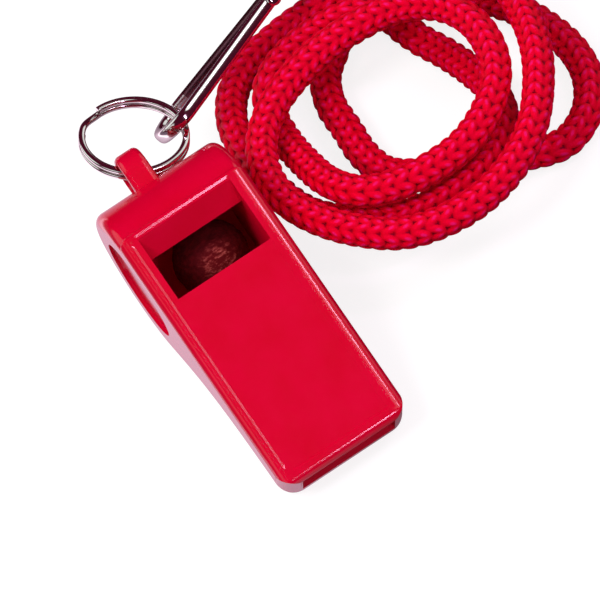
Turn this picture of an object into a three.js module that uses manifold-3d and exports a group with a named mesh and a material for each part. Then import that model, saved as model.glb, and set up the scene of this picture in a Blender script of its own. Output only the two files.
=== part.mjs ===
// A plastic pea whistle on a split ring, with a swivel hook and a braided lanyard cord.
// Millimetres, +Z up, on a flat surface at z = 0. X runs from the barrel to the mouthpiece.
import * as THREE from "three";
import { mergeVertices } from "three/addons/utils/BufferGeometryUtils.js";
import Module from "manifold-3d";

const wasm = await Module();
wasm.setup();

// Driving sizes of the whistle
const body_width = 17.7;
const barrel_radius = 10.1;
const barrel_to_top = 10.2;
const barrel_to_tip = 31.7;
const tip_thickness = 6.15;
const rear_step_x = -4.3;
const edge_fillet = 1.3;
const plan_corner_radius = 2.6;
const side_wall = 2.35;
const perimeter_wall = 2.4;
const cover_thickness = 2.2;
const bond_gap = 0.1;
const rest_tilt = THREE.MathUtils.degToRad(25.4);
const throat_handle = 9.7;
const tip_handle = 14.2;
const tip_fall = 1.05;
const fillet_steps = 4;
const barrel_steps = 40;
const throat_steps = 20;
const cut_margin = 1.0;

// Window, lip and wind-way
const window_rear_x = -3.4;
const window_front_x = 5.4;
const lip_edge_x = -0.75;
const lip_edge_z = 7.7;
const windway_roof_z = 8.4;
const windway_height = 1.3;
const mouth_roof = 1.2;
const mouth_height = 3.6;
const mouth_funnel = 9.0;
const chamber_sides = 40;

// Round recess in each side
const recess_radius = 6.5;
const recess_depth = 0.7;

// Lug for the ring
const lug_hole_radius = 2.2;
const lug_wall = 0.9;
const lug_width = 3.3;
const lug_reach = 4.8;
const lug_hole_z = 0.25;
const lug_root_depth = 1.2;
const lug_sides = 28;

// Cork pea
const pea_radius = 4.8;
const pea_clearance = 0.3;
const pea_side_shift = 0.7;
const pea_detail = 3;

// Split ring
const ring_outer_radius = 6.75;
const ring_wire_radial = 0.9;
const ring_wire_axial = 0.72;
const ring_coil_gap = 0.08;
const ring_wire_sides = 8;
const ring_steps = 100;
const ring_end_gap = 0.05;
const ring_step_angle = THREE.MathUtils.degToRad(34);
const ring_step_place = THREE.MathUtils.degToRad(257);
const ring_hook_angle = THREE.MathUtils.degToRad(119.5);
const ring_to_lug = new THREE.Vector3(0.903, -0.39, 0.18).normalize();
const ring_normal_hint = new THREE.Vector3(-0.06, 0.316, 0.947);

// Swivel hook
const hook_bend_radius = 3.3;
const hook_bar_thickness = 1.5;
const hook_bar_width = 1.8;
const hook_shank_length = 21.5;
const hook_tip_length = 2.6;
const hook_plate_thickness = 1.6;
const hook_plate_width = 3.6;
const hook_plate_margin = 0.6;
const hook_plate_shoulder = 0.4;
const hook_bar_sides = 12;
const hook_bend_steps = 14;
const squareness = 3;
const hook_heading = THREE.MathUtils.degToRad(115.5);
const hook_slope = THREE.MathUtils.degToRad(2);
const hook_roll = THREE.MathUtils.degToRad(48);
const ring_seat_clearance = 1.65;

// Spring gate and its rivet
const gate_thickness = 0.4;
const gate_width = 2.4;
const gate_tip_x = 1.2;
const gate_pivot_setback = 3.5;
const gate_root_clearance = 0.35;
const gate_tip_clearance = 0.25;
const rivet_radius = 0.5;
const rivet_head_radius = 1.05;
const rivet_head_height = 0.45;
const rivet_seat_gap = 0.1;
const rivet_sides = 20;
const dome_radius_share = 0.7;
const dome_height_share = 0.8;

// Swivel pin and ferrule
const pin_radius = 0.7;
const pin_head_radius = 1.6;
const pin_head_length = 1.0;
const pin_head_taper = 0.75;
const pin_head_straight = 0.6;
const pin_collar_length = 0.8;
const pin_sides = 24;
const running_gap = 0.3;
const ferrule_length = 10.0;
const ferrule_width = 9.4;
const ferrule_thickness = 5.4;
const ferrule_waist = 0.5;
const ferrule_socket_depth = 4.0;
const ferrule_sides = 20;

// Places along the ferrule as shares of its length, with the share of the waist's depth there
const ferrule_stations = [
  [0, 1], [0.08, 0], [0.3, 0], [0.4, 1], [0.6, 1], [0.7, 0], [0.92, 0], [1, 0.6],
];

// Lanyard cord, with the points of its centre line, chosen by hand
const cord_diameter = 4.0;
const cord_end_gap = 0.3;
const pile_steps = 150;
const pile_sides = 6;
const lead_steps = 20;
const lead_sides = 8;
const inner_lead_points = [
  [-34, 38.1, 11], [-36.1, 42.5, 10.7], [-39, 47, 8.4], [-43, 49.6, 5], [-47.5, 49.2, 2.6],
  [-50.5, 45.6, 2.1], [-50, 40.8, 2.1], [-46.4, 37.2, 2.1], [-41.4, 35.6, 2.1],
  [-35.6, 35, 2.1], [-29.6, 33.8, 2.1],
];
const pile_points = [
  [-24.1, 32.4, 2.1], [-20.5, 29.6, 2.1], [-17.5, 26.4, 2.1], [-13.4, 24.6, 2.1],
  [-8.6, 24.2, 2.1], [-4.1, 23.9, 2.1], [-0.1, 24.8, 2.1], [2.9, 27.9, 2.1], [4.7, 32.2, 2.1],
  [6.7, 36.2, 2.1], [9.3, 39.8, 2.1], [10.7, 44, 2.1], [8.9, 48.2, 2.1], [4.9, 51, 2.1],
  [-0.1, 51.9, 2.1], [-5, 51.2, 2.3], [-9.8, 49.5, 2.6], [-13.8, 46.7, 3], [-16.4, 42.7, 4],
  [-17, 37.7, 7.4], [-18.1, 32.7, 8.7], [-19.1, 27.8, 8.2], [-18.6, 22.8, 7.9],
  [-16.4, 19, 7.7], [-13.8, 17.5, 6.8], [-9.5, 16.9, 6.5], [-3.3, 16.8, 8.2], [2.5, 17.4, 10.1],
  [6.5, 19.4, 11.1], [8.5, 22.9, 11.1], [9.3, 27.4, 11.1], [9.1, 32.4, 11.1], [7.1, 37, 11.1],
  [3.8, 40.6, 11.1], [-0.7, 42.6, 11.1], [-5.7, 42.8, 11.1], [-10.2, 40.9, 11.1],
  [-13.3, 36.9, 11.1], [-14.3, 31.9, 11.1], [-14.3, 27.4, 11.1], [-13.3, 22.4, 11.1],
  [-11.2, 17.6, 11.1], [-7.7, 13.8, 11.1], [-3.2, 11.8, 11.1], [1.3, 11.6, 11.1],
  [6.3, 13.2, 11.1], [11.3, 16.4, 11.1], [15.1, 20.4, 11.1], [16.9, 25.4, 11.1],
  [17.1, 30.4, 11.1], [15.5, 35.9, 11.1], [12.3, 40.6, 11.1], [7.8, 44.3, 11.1],
  [3.3, 46.8, 11.1], [-2.4, 48.5, 10.2], [-8.1, 49.1, 9.2], [-13.6, 47.1, 8.5],
  [-18.4, 44, 8.4], [-21.9, 39.2, 7.2], [-22.8, 34, 6.7], [-23.3, 31, 6.5], [-24, 28.1, 5.7],
  [-23.9, 24.1, 5.4], [-22.9, 19.4, 5.4], [-20.5, 15.7, 5.5], [-16.9, 13.4, 6],
  [-13.1, 12.3, 6.4], [-8.4, 12, 6.6], [-2.9, 12.3, 6.6], [2.1, 13.8, 6.6], [6.3, 17.1, 6.6],
  [9.4, 21.3, 6.6], [10.7, 26, 6.6], [10.8, 31, 6.6], [9.5, 35.6, 6.6], [6.5, 38.8, 6.6],
  [1.1, 40.5, 5.2], [-4.5, 40.4, 3.6], [-10, 39.5, 2.3], [-14.6, 38, 2.1], [-19.1, 37.2, 2.1],
  [-24.1, 37.8, 2.1],
];
const outer_lead_points = [
  [-28.4, 38.9, 2.1], [-31.2, 42, 2.1], [-31.2, 46.4, 2.1], [-28.6, 50.2, 2.1],
  [-26.4, 54.2, 2.1], [-26.6, 58.9, 2.1], [-29.2, 62.2, 2.3], [-33.6, 62.4, 3.2],
  [-36.8, 59.4, 4.9], [-37, 54.8, 7], [-34.8, 49.8, 9.2], [-31.6, 44.6, 10.7],
  [-29.7, 40.1, 11],
];

function material(color, roughness, metalness) {
  return new THREE.MeshStandardMaterial({ color, roughness, metalness });
}

const red_plastic = () => material(0xd80028, 0.18, 0.0);
const nickel = () => material(0xc9c7c4, 0.2, 1.0);
const cork = () => material(0x6e1a1c, 0.95, 0.0);
const red_cord = () => material(0xe2002c, 0.7, 0.0);

function named(name, geometry, finish) {
  const mesh = new THREE.Mesh(geometry, finish);
  mesh.name = name;
  return mesh;
}

// Solids and booleans
function bare(geometry) {
  const copy = geometry.clone();
  copy.deleteAttribute("normal");
  copy.deleteAttribute("uv");
  return mergeVertices(copy, 1e-4);
}

function solid(geometry) {
  const merged = bare(geometry);
  return new wasm.Manifold(new wasm.Mesh({
    numProp: 3,
    vertProperties: new Float32Array(merged.attributes.position.array),
    triVerts: new Uint32Array(merged.index.array),
  }));
}

function geometry_of(body) {
  const mesh = body.getMesh();
  const geometry = new THREE.BufferGeometry();
  const positions = new Float32Array(mesh.numVert * 3);
  for (let i = 0; i < mesh.numVert; i += 1) {
    for (let k = 0; k < 3; k += 1) {
      positions[3 * i + k] = mesh.vertProperties[i * mesh.numProp + k];
    }
  }
  geometry.setAttribute("position", new THREE.BufferAttribute(positions, 3));
  geometry.setIndex(new THREE.BufferAttribute(new Uint32Array(mesh.triVerts), 1));
  geometry.computeVertexNormals();
  return geometry;
}

// A closed body through rings of equal point counts, with flat ends
function loft(rings) {
  const count = rings[0].length;
  const positions = rings.flat().flatMap((p) => [p.x, p.y, p.z]);
  const index = [];
  for (let r = 0; r + 1 < rings.length; r += 1) {
    for (let i = 0; i < count; i += 1) {
      const j = (i + 1) % count;
      const a = r * count + i;
      const b = r * count + j;
      index.push(a, a + count, b, b, a + count, b + count);
    }
  }
  const last = (rings.length - 1) * count;
  const flat_first = rings[0].map((p) => new THREE.Vector2(p.x, p.z));
  const flat_last = rings[rings.length - 1].map((p) => new THREE.Vector2(p.x, p.z));
  for (const [a, b, c] of THREE.ShapeUtils.triangulateShape(flat_first, [])) {
    index.push(a, b, c);
  }
  for (const [a, b, c] of THREE.ShapeUtils.triangulateShape(flat_last, [])) {
    index.push(last + a, last + c, last + b);
  }
  const geometry = new THREE.BufferGeometry();
  geometry.setAttribute("position", new THREE.Float32BufferAttribute(positions, 3));
  geometry.setIndex(index);
  geometry.computeVertexNormals();
  return geometry;
}

function arc_points(cx, cz, radius, from, to, steps) {
  const points = [];
  for (let i = 0; i <= steps; i += 1) {
    const angle = from + (to - from) * i / steps;
    points.push(new THREE.Vector2(cx + radius * Math.cos(angle), cz + radius * Math.sin(angle)));
  }
  return points;
}

// Side outline of the whistle, drawn inset from its true edge; the barrel's axis is the origin
function side_outline(inset) {
  const r = barrel_radius - inset;
  const top = barrel_to_top - inset;
  const tip = barrel_to_tip - inset;
  const under = barrel_to_top - tip_thickness + inset;
  const throat_angle = -Math.PI / 4;
  const start = new THREE.Vector2(r * Math.cos(throat_angle), r * Math.sin(throat_angle));
  const handle_side = throat_handle * Math.SQRT1_2;
  const throat = new THREE.CubicBezierCurve(
    start,
    new THREE.Vector2(start.x + handle_side, start.y + handle_side),
    new THREE.Vector2(tip - tip_handle, under - tip_fall),
    new THREE.Vector2(tip, under),
  );
  const rear_x = rear_step_x + inset;
  const rear_angle = Math.acos(rear_x / r);
  const outline = [];
  outline.push(...arc_points(0, 0, r, rear_angle, 2 * Math.PI + throat_angle, barrel_steps));
  outline.push(...throat.getPoints(throat_steps).slice(1));
  outline.push(new THREE.Vector2(tip, top));
  outline.push(new THREE.Vector2(rear_x, top));
  return outline;
}

// Outer form of body and cover together, with rounded side edges
function outer_form() {
  const half = body_width / 2;
  const rings = [];
  for (let i = 0; i <= fillet_steps; i += 1) {
    const angle = Math.PI / 2 * i / fillet_steps;
    rings.push([edge_fillet * (1 - Math.sin(angle)), -half + edge_fillet * (1 - Math.cos(angle))]);
  }
  const mirrored = rings.slice().reverse().map(([inset, y]) => [inset, -y]);
  const slices = rings.concat(mirrored).map(([inset, y]) =>
    side_outline(inset).map((p) => new THREE.Vector3(p.x, y, p.y)));
  return solid(loft(slices));
}

// A prism along Y of a side shape
function side_prism(shape, y_from, y_to) {
  const geometry = new THREE.ExtrudeGeometry(shape, {
    depth: y_to - y_from, bevelEnabled: false,
  });
  geometry.rotateX(Math.PI / 2);
  geometry.translate(0, y_to, 0);
  return solid(geometry);
}

function shape_of(points) {
  return new THREE.Shape(points.map(([x, y]) => new THREE.Vector2(x, y)));
}

function cylinder_y(radius, y_from, y_to, x, z, sides) {
  const geometry = new THREE.CylinderGeometry(radius, radius, y_to - y_from, sides);
  geometry.translate(x, (y_from + y_to) / 2, z);
  return solid(geometry);
}

function box(x0, x1, y0, y1, z0, z1) {
  const geometry = new THREE.BoxGeometry(x1 - x0, y1 - y0, z1 - z0);
  geometry.translate((x0 + x1) / 2, (y0 + y1) / 2, (z0 + z1) / 2);
  return solid(geometry);
}

const body_left = -body_width / 2;
const body_right = body_width / 2;
const chamber_left = body_left + side_wall;
const chamber_right = body_right - cover_thickness;
const chamber_radius = barrel_radius - perimeter_wall;
const window_middle = (chamber_right + chamber_left) / 2;

// Plan outline with rounded front corners
function plan_form() {
  const far = barrel_radius + lug_reach;
  const shape = new THREE.Shape();
  const x = barrel_to_tip;
  const c = plan_corner_radius;
  shape.moveTo(-far, body_left);
  shape.lineTo(x - c, body_left);
  shape.absarc(x - c, body_left + c, c, -Math.PI / 2, 0, false);
  shape.absarc(x - c, body_right - c, c, 0, Math.PI / 2, false);
  shape.lineTo(-far, body_right);
  shape.closePath();
  const height = 2 * (barrel_radius + barrel_to_top);
  const corner_steps = 6;
  const geometry = new THREE.ExtrudeGeometry(shape, {
    depth: height, bevelEnabled: false, curveSegments: corner_steps,
  });
  geometry.translate(0, 0, -height / 2);
  return solid(geometry);
}

// Window with its sloped rear lip, cut through the top into the chamber
function window_cut() {
  const above = barrel_to_top + cut_margin;
  const slope = (window_rear_x - lip_edge_x) / (barrel_to_top - lip_edge_z);
  const shape = shape_of([
    [window_front_x, above],
    [window_rear_x + slope * cut_margin, above],
    [lip_edge_x, lip_edge_z],
    [lip_edge_x, lip_edge_z - 2 * cut_margin],
    [window_front_x, lip_edge_z - 2 * cut_margin],
  ]);
  return side_prism(shape, chamber_left, chamber_right);
}

// Wind-way from the mouth to the window, flared at the mouth
function windway_cut() {
  const beyond = barrel_to_tip + cut_margin;
  const inside = window_front_x - cut_margin / 2;
  const mouth_top = barrel_to_top - mouth_roof;
  const floor = windway_roof_z - windway_height;
  const shape = shape_of([
    [inside, windway_roof_z],
    [inside, floor],
    [barrel_to_tip - mouth_funnel, floor],
    [beyond, mouth_top - mouth_height],
    [beyond, mouth_top],
  ]);
  return side_prism(shape, chamber_left, chamber_right);
}

function lug_form(lug_hole_x, lug_y) {
  const outer = lug_hole_radius + lug_wall;
  const root_x = -barrel_radius + lug_root_depth;
  const y_from = lug_y - lug_width / 2;
  const y_to = lug_y + lug_width / 2;
  const eye = cylinder_y(outer, y_from, y_to, lug_hole_x, lug_hole_z, lug_sides);
  const root = box(lug_hole_x, root_x, y_from, y_to, lug_hole_z - outer, lug_hole_z + outer);
  return eye.add(root);
}

const lug_y = (body_left + chamber_right) / 2;
const lug_hole_x = -barrel_radius - lug_reach + lug_wall + lug_hole_radius;

function whistle_solids() {
  const outer = outer_form().intersect(plan_form());
  const beyond = 2 * cut_margin;
  const tall = 2 * barrel_radius + barrel_to_top;
  const far = 2 * barrel_to_tip;
  const left_of_joint = box(-far, far, body_left - beyond, chamber_right - bond_gap, -tall, tall);
  const right_of_joint = box(-far, far, chamber_right, body_right + beyond, -tall, tall);
  const chamber = cylinder_y(chamber_radius, chamber_left, body_right, 0, 0, chamber_sides);
  const recess = (y_from, y_to) => cylinder_y(recess_radius, y_from, y_to, 0, 0, chamber_sides);
  const left_recess = recess(body_left - beyond, body_left + recess_depth);
  const right_recess = recess(body_right - recess_depth, body_right + beyond);
  const lug_hole = cylinder_y(lug_hole_radius, body_left, body_right, lug_hole_x, lug_hole_z, lug_sides);
  const whistle_body = outer.intersect(left_of_joint)
    .add(lug_form(lug_hole_x, lug_y))
    .subtract(lug_hole)
    .subtract(chamber)
    .subtract(window_cut())
    .subtract(windway_cut())
    .subtract(left_recess);
  const side_cover = outer.intersect(right_of_joint).subtract(right_recess);
  return { whistle_body, side_cover };
}

// Cork pea, lying at the chamber's lowest place
function pea_form() {
  const geometry = bare(new THREE.IcosahedronGeometry(pea_radius, pea_detail));
  geometry.computeVertexNormals();
  return geometry;
}

// A closed body through equal rings of a convex section
function sweep(rings) {
  const count = rings[0].length;
  const positions = rings.flat().flatMap((p) => [p.x, p.y, p.z]);
  const index = [];
  for (let r = 0; r + 1 < rings.length; r += 1) {
    for (let i = 0; i < count; i += 1) {
      const j = (i + 1) % count;
      const a = r * count + i;
      const b = r * count + j;
      index.push(a, b, b + count, a, b + count, a + count);
    }
  }
  const last = (rings.length - 1) * count;
  for (let i = 1; i + 1 < count; i += 1) {
    index.push(0, i + 1, i);
    index.push(last, last + i, last + i + 1);
  }
  const geometry = new THREE.BufferGeometry();
  geometry.setAttribute("position", new THREE.Float32BufferAttribute(positions, 3));
  geometry.setIndex(index);
  geometry.computeVertexNormals();
  return geometry;
}

// Rounded section of a bar or wire, as offsets along its two cross axes
function rounded_section(across, along, sides) {
  const points = [];
  for (let i = 0; i < sides; i += 1) {
    const angle = 2 * Math.PI * (i + 0.5) / sides;
    const c = Math.cos(angle);
    const s = Math.sin(angle);
    const power = 2 / squareness;
    points.push([
      across / 2 * Math.sign(c) * Math.abs(c) ** power,
      along / 2 * Math.sign(s) * Math.abs(s) ** power,
    ]);
  }
  return points;
}

// Two coils of wire, stepped from the lower to the upper coil in one place
function ring_form() {
  const radius = ring_outer_radius - ring_wire_radial / 2;
  const pitch = ring_wire_axial + ring_coil_gap;
  const section = rounded_section(ring_wire_radial, ring_wire_axial, ring_wire_sides);
  const total = 4 * Math.PI - ring_step_angle - ring_end_gap;
  const rings = [];
  for (let i = 0; i <= ring_steps; i += 1) {
    const turned = total * i / ring_steps;
    const step_start = 2 * Math.PI - ring_step_angle;
    const share = THREE.MathUtils.smoothstep(turned, step_start, 2 * Math.PI);
    const height = pitch * (share - 0.5);
    const angle = ring_step_place + turned;
    const out = new THREE.Vector3(Math.cos(angle), Math.sin(angle), 0);
    rings.push(section.map(([across, along]) =>
      out.clone().multiplyScalar(radius + across).setZ(height + along)));
  }
  return sweep(rings.reverse());
}

const bend_inside = hook_bend_radius - hook_bar_thickness / 2;

// Shank, bend and tip of the hook; the swivel's axis is X and the hook opens towards +Z
function hook_form() {
  const section = rounded_section(hook_bar_width, hook_bar_thickness, hook_bar_sides);
  const path = [];
  path.push([hook_shank_length + hook_plate_thickness / 2, -hook_bend_radius, 0]);
  for (let i = 0; i <= hook_bend_steps; i += 1) {
    const angle = Math.PI * i / hook_bend_steps;
    path.push([-hook_bend_radius * Math.sin(angle), -hook_bend_radius * Math.cos(angle), angle]);
  }
  path.push([hook_tip_length, hook_bend_radius, Math.PI]);
  const rings = path.map(([x, z, turned]) => {
    const inward = new THREE.Vector3(Math.sin(turned), 0, Math.cos(turned));
    return section.map(([across, along]) =>
      new THREE.Vector3(x, across, z).addScaledVector(inward, along));
  });
  const bar = solid(sweep(rings.reverse()));
  const plate_far = hook_shank_length + hook_plate_thickness;
  const plate_height = pin_head_radius + hook_plate_margin;
  const half_plate = hook_plate_width / 2;
  const plate = box(hook_shank_length, plate_far, -half_plate, half_plate,
    -hook_bend_radius - hook_bar_thickness / 2, plate_height * hook_plate_shoulder);
  const rounded = cylinder_x(plate_height, hook_shank_length, plate_far);
  const trimmed = rounded.intersect(box(0, 2 * plate_far, -half_plate, half_plate,
    -plate_height, plate_height));
  const pin_hole = cylinder_x(pin_radius + running_gap, hook_shank_length - cut_margin,
    plate_far + cut_margin);
  const rivet_hole = cylinder_z(rivet_radius + running_gap, gate_pivot_x,
    -2 * hook_bend_radius, 0);
  return bar.add(plate).add(trimmed).subtract(pin_hole).subtract(rivet_hole);
}

function cylinder_x(radius, x_from, x_to) {
  const geometry = new THREE.CylinderGeometry(radius, radius, x_to - x_from, pin_sides);
  geometry.rotateZ(Math.PI / 2);
  geometry.translate((x_from + x_to) / 2, 0, 0);
  return solid(geometry);
}

function cylinder_z(radius, x, z_from, z_to) {
  const geometry = new THREE.CylinderGeometry(radius, radius, z_to - z_from, rivet_sides);
  geometry.rotateX(Math.PI / 2);
  geometry.translate(x, 0, (z_from + z_to) / 2);
  return solid(geometry);
}

const gate_pivot_x = hook_shank_length - gate_pivot_setback;
const gate_root_z = -bend_inside + gate_thickness / 2 + gate_root_clearance;
const gate_tip_z = bend_inside - gate_thickness / 2 - gate_tip_clearance;

// Flat spring strip from the rivet to the inner side of the hook's tip
function gate_form() {
  const root_x = gate_pivot_x + rivet_head_radius;
  const slope = (gate_tip_z - gate_root_z) / (gate_tip_x - gate_pivot_x);
  const line = (x) => gate_root_z + slope * (x - gate_pivot_x);
  const half = gate_thickness / 2;
  const shape = shape_of([
    [gate_tip_x, line(gate_tip_x) - half],
    [root_x, line(root_x) - half],
    [root_x, line(root_x) + half],
    [gate_tip_x, line(gate_tip_x) + half],
  ]);
  const strip = side_prism(shape, -gate_width / 2, gate_width / 2);
  return strip.subtract(cylinder_z(rivet_radius + running_gap, gate_pivot_x,
    gate_root_z - cut_margin, gate_root_z + cut_margin));
}

// Rivet with a head behind the shank and one on the gate
function rivet_form() {
  const back = -hook_bend_radius - hook_bar_thickness / 2 - rivet_seat_gap;
  const front = gate_root_z + gate_thickness / 2 + running_gap;
  const shoulder_radius = rivet_head_radius * dome_radius_share;
  const shoulder_height = rivet_head_height * dome_height_share;
  const profile = [
    [0, back - rivet_head_height],
    [shoulder_radius, back - shoulder_height],
    [rivet_head_radius, back],
    [rivet_radius, back],
    [rivet_radius, front],
    [rivet_head_radius, front],
    [shoulder_radius, front + shoulder_height],
    [0, front + rivet_head_height],
  ].map(([x, y]) => new THREE.Vector2(x, y));
  const geometry = new THREE.LatheGeometry(profile, rivet_sides);
  geometry.rotateX(Math.PI / 2);
  geometry.translate(gate_pivot_x, 0, 0);
  return solid(geometry);
}

const plate_far_x = hook_shank_length + hook_plate_thickness;
const ferrule_x = plate_far_x + 2 * running_gap + pin_collar_length;

// Headed pin on the swivel's axis
function pin_form() {
  const head_base = hook_shank_length - running_gap;
  const socket_end = ferrule_x + ferrule_socket_depth - running_gap;
  const profile = [
    [0, head_base - pin_head_length],
    [pin_head_radius * pin_head_taper, head_base - pin_head_length],
    [pin_head_radius, head_base - pin_head_length * pin_head_straight],
    [pin_head_radius, head_base],
    [pin_radius, head_base],
    [pin_radius, plate_far_x + running_gap],
    [pin_head_radius, plate_far_x + running_gap],
    [pin_head_radius, ferrule_x - running_gap],
    [pin_radius, ferrule_x - running_gap],
    [pin_radius, socket_end],
    [0, socket_end],
  ].map(([x, y]) => new THREE.Vector2(x, y));
  const geometry = new THREE.LatheGeometry(profile, pin_sides);
  geometry.rotateZ(-Math.PI / 2);
  return solid(geometry);
}

// Crimped ferrule, pinched at its waist
function ferrule_form() {
  const rings = ferrule_stations.map(([length_share, depth_share]) => {
    const pinch = ferrule_waist * depth_share;
    const x = ferrule_x + length_share * ferrule_length;
    const section = rounded_section(ferrule_width - pinch, ferrule_thickness - 2 * pinch, ferrule_sides);
    return section.map(([y, z]) => new THREE.Vector3(x, y, z));
  });
  const socket = cylinder_x(pin_radius + running_gap, ferrule_x - cut_margin,
    ferrule_x + ferrule_socket_depth);
  return solid(sweep(rings)).subtract(socket);
}

const whistle = new THREE.Group();
whistle.position.set(0, 0, barrel_radius);
whistle.rotation.y = rest_tilt;
const { whistle_body, side_cover } = whistle_solids();
whistle.add(named("whistle_body", geometry_of(whistle_body), red_plastic()));
whistle.add(named("side_cover", geometry_of(side_cover), red_plastic()));

const pea = named("pea", pea_form(), cork());
const chamber_floor_z = barrel_radius - chamber_radius;
pea.position.set(0, window_middle + pea_side_shift, chamber_floor_z + pea_radius + pea_clearance);

// The ring's centre follows from the lug's hole, the hook's place from the ring
const lug_centre = new THREE.Vector3(lug_hole_x, lug_y, lug_hole_z)
  .applyAxisAngle(new THREE.Vector3(0, 1, 0), rest_tilt)
  .add(whistle.position);
const ring_mean_radius = ring_outer_radius - ring_wire_radial / 2;
const ring_centre = lug_centre.clone().addScaledVector(ring_to_lug, -ring_mean_radius);
const ring_normal = ring_normal_hint.clone()
  .addScaledVector(ring_to_lug, -ring_normal_hint.dot(ring_to_lug))
  .normalize();
const ring_side = ring_normal.clone().cross(ring_to_lug);
const ring = named("split_ring", ring_form(), nickel());
ring.position.copy(ring_centre);
ring.quaternion.setFromRotationMatrix(
  new THREE.Matrix4().makeBasis(ring_to_lug, ring_side, ring_normal));

const ring_at_hook = ring_centre.clone()
  .addScaledVector(ring_to_lug, ring_mean_radius * Math.cos(ring_hook_angle))
  .addScaledVector(ring_side, ring_mean_radius * Math.sin(ring_hook_angle));
const axis = new THREE.Vector3(
  Math.cos(hook_heading) * Math.cos(hook_slope),
  Math.sin(hook_heading) * Math.cos(hook_slope),
  -Math.sin(hook_slope),
);
const level_side = new THREE.Vector3(0, 0, 1).cross(axis).normalize();
const axis_up = axis.clone().cross(level_side);
const opening = level_side.clone().multiplyScalar(Math.cos(hook_roll))
  .addScaledVector(axis_up, -Math.sin(hook_roll));
const seat = bend_inside - ring_wire_radial / 2 - ring_seat_clearance;
const hook_origin = ring_at_hook.clone().addScaledVector(axis, seat);

const hook = new THREE.Group();
hook.position.copy(hook_origin);
hook.quaternion.setFromRotationMatrix(
  new THREE.Matrix4().makeBasis(axis, opening.clone().cross(axis), opening));
hook.add(named("hook_body", geometry_of(hook_form()), nickel()));
hook.add(named("hook_gate", geometry_of(gate_form()), nickel()));
hook.add(named("gate_rivet", geometry_of(rivet_form()), nickel()));

const swivel = new THREE.Group();
swivel.position.copy(hook_origin);
swivel.quaternion.setFromRotationMatrix(
  new THREE.Matrix4().makeBasis(axis, level_side, axis_up));
swivel.add(named("swivel_pin", geometry_of(pin_form()), nickel()));
swivel.add(named("cord_ferrule", geometry_of(ferrule_form()), nickel()));

// The cord from one side of the ferrule's end, through the pile, to the other side
const cord_route = [...inner_lead_points, ...pile_points, ...outer_lead_points]
  .map(([x, y, z]) => new THREE.Vector3(x, y, z));
const cord_line = new THREE.CatmullRomCurve3(cord_route, false, "centripetal");
const parts_per_span = 20;
const span_lengths = cord_line.getLengths((cord_route.length - 1) * parts_per_span);
const cord_length = span_lengths[span_lengths.length - 1];
cord_line.arcLengthDivisions = span_lengths.length - 1;
cord_line.updateArcLengths();

// The part of the centre line between two distances along it
class CordStretch extends THREE.Curve {
  constructor(from, to) {
    super();
    this.from = from;
    this.to = to;
  }

  getPoint(share, target = new THREE.Vector3()) {
    const along = this.from + (this.to - this.from) * share;
    return cord_line.getPointAt(along / cord_length, target);
  }
}

// A many-sided tube along a stretch, its section carried along without twist
function tube_form(line, steps, sides) {
  const rings = [];
  let across = new THREE.Vector3(0, 0, 1);
  for (let i = 0; i <= steps; i += 1) {
    const centre = line.getPoint(i / steps);
    const along = line.getTangent(i / steps);
    across = across.clone().addScaledVector(along, -across.dot(along)).normalize();
    const other = along.clone().cross(across);
    const ring = [];
    for (let k = 0; k < sides; k += 1) {
      const angle = 2 * Math.PI * (k + 0.5) / sides;
      ring.push(centre.clone()
        .addScaledVector(across, cord_diameter / 2 * Math.cos(angle))
        .addScaledVector(other, cord_diameter / 2 * Math.sin(angle)));
    }
    rings.push(ring);
  }
  return sweep(rings);
}

// A plain lead along a stretch
function lead_form(line) {
  const corners = [];
  for (let k = 0; k < lead_sides; k += 1) {
    const angle = 2 * Math.PI * (k + 0.5) / lead_sides;
    corners.push([cord_diameter / 2 * Math.cos(angle), cord_diameter / 2 * Math.sin(angle)]);
  }
  return bare(new THREE.ExtrudeGeometry(shape_of(corners), {
    steps: lead_steps, bevelEnabled: false, extrudePath: line,
  }));
}

// Least clear distance between turns of the cord, measured on points a millimetre apart
function least_gap() {
  const count = Math.round(cord_length);
  const points = new CordStretch(0, cord_length).getPoints(count);
  const apart = Math.round(3 * cord_diameter);
  let least = Infinity;
  for (let i = 0; i < count; i += 1) {
    for (let j = i + apart; j < count; j += 1) {
      least = Math.min(least, points[i].distanceTo(points[j]));
    }
  }
  return least - cord_diameter;
}
console.log("cord length", cord_length.toFixed(1), "least gap to itself", least_gap().toFixed(2));

const pile_start = span_lengths[(inner_lead_points.length - 1) * parts_per_span];
const pile_last_point = inner_lead_points.length + pile_points.length;
const pile_end = span_lengths[pile_last_point * parts_per_span];
const half_gap = cord_end_gap / 2;
const pile_line = new CordStretch(pile_start + half_gap, pile_end - half_gap);
const inner_lead_line = new CordStretch(0, pile_start - half_gap);
const outer_lead_line = new CordStretch(pile_end + half_gap, cord_length);
const cord = new THREE.Group();
cord.add(named("cord_lead_a", lead_form(inner_lead_line), red_cord()));
cord.add(named("cord_pile", tube_form(pile_line, pile_steps, pile_sides), red_cord()));
cord.add(named("cord_lead_b", lead_form(outer_lead_line), red_cord()));

const hardware = new THREE.Group();
for (const piece of [whistle, pea, ring, hook, swivel]) {
  hardware.add(piece);
}

// The origin lies under the middle of the box of all pieces but the cord
hardware.updateMatrixWorld(true);
const box_of_hardware = new THREE.Box3().setFromObject(hardware, true);
const middle = box_of_hardware.getCenter(new THREE.Vector3());
const object = new THREE.Group();
object.position.set(-middle.x, -middle.y, 0);
object.add(hardware);
object.add(cord);

export default object;
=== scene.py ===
import math

import bmesh
import bpy
import numpy as np
from mathutils import Matrix, Vector, noise


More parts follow.
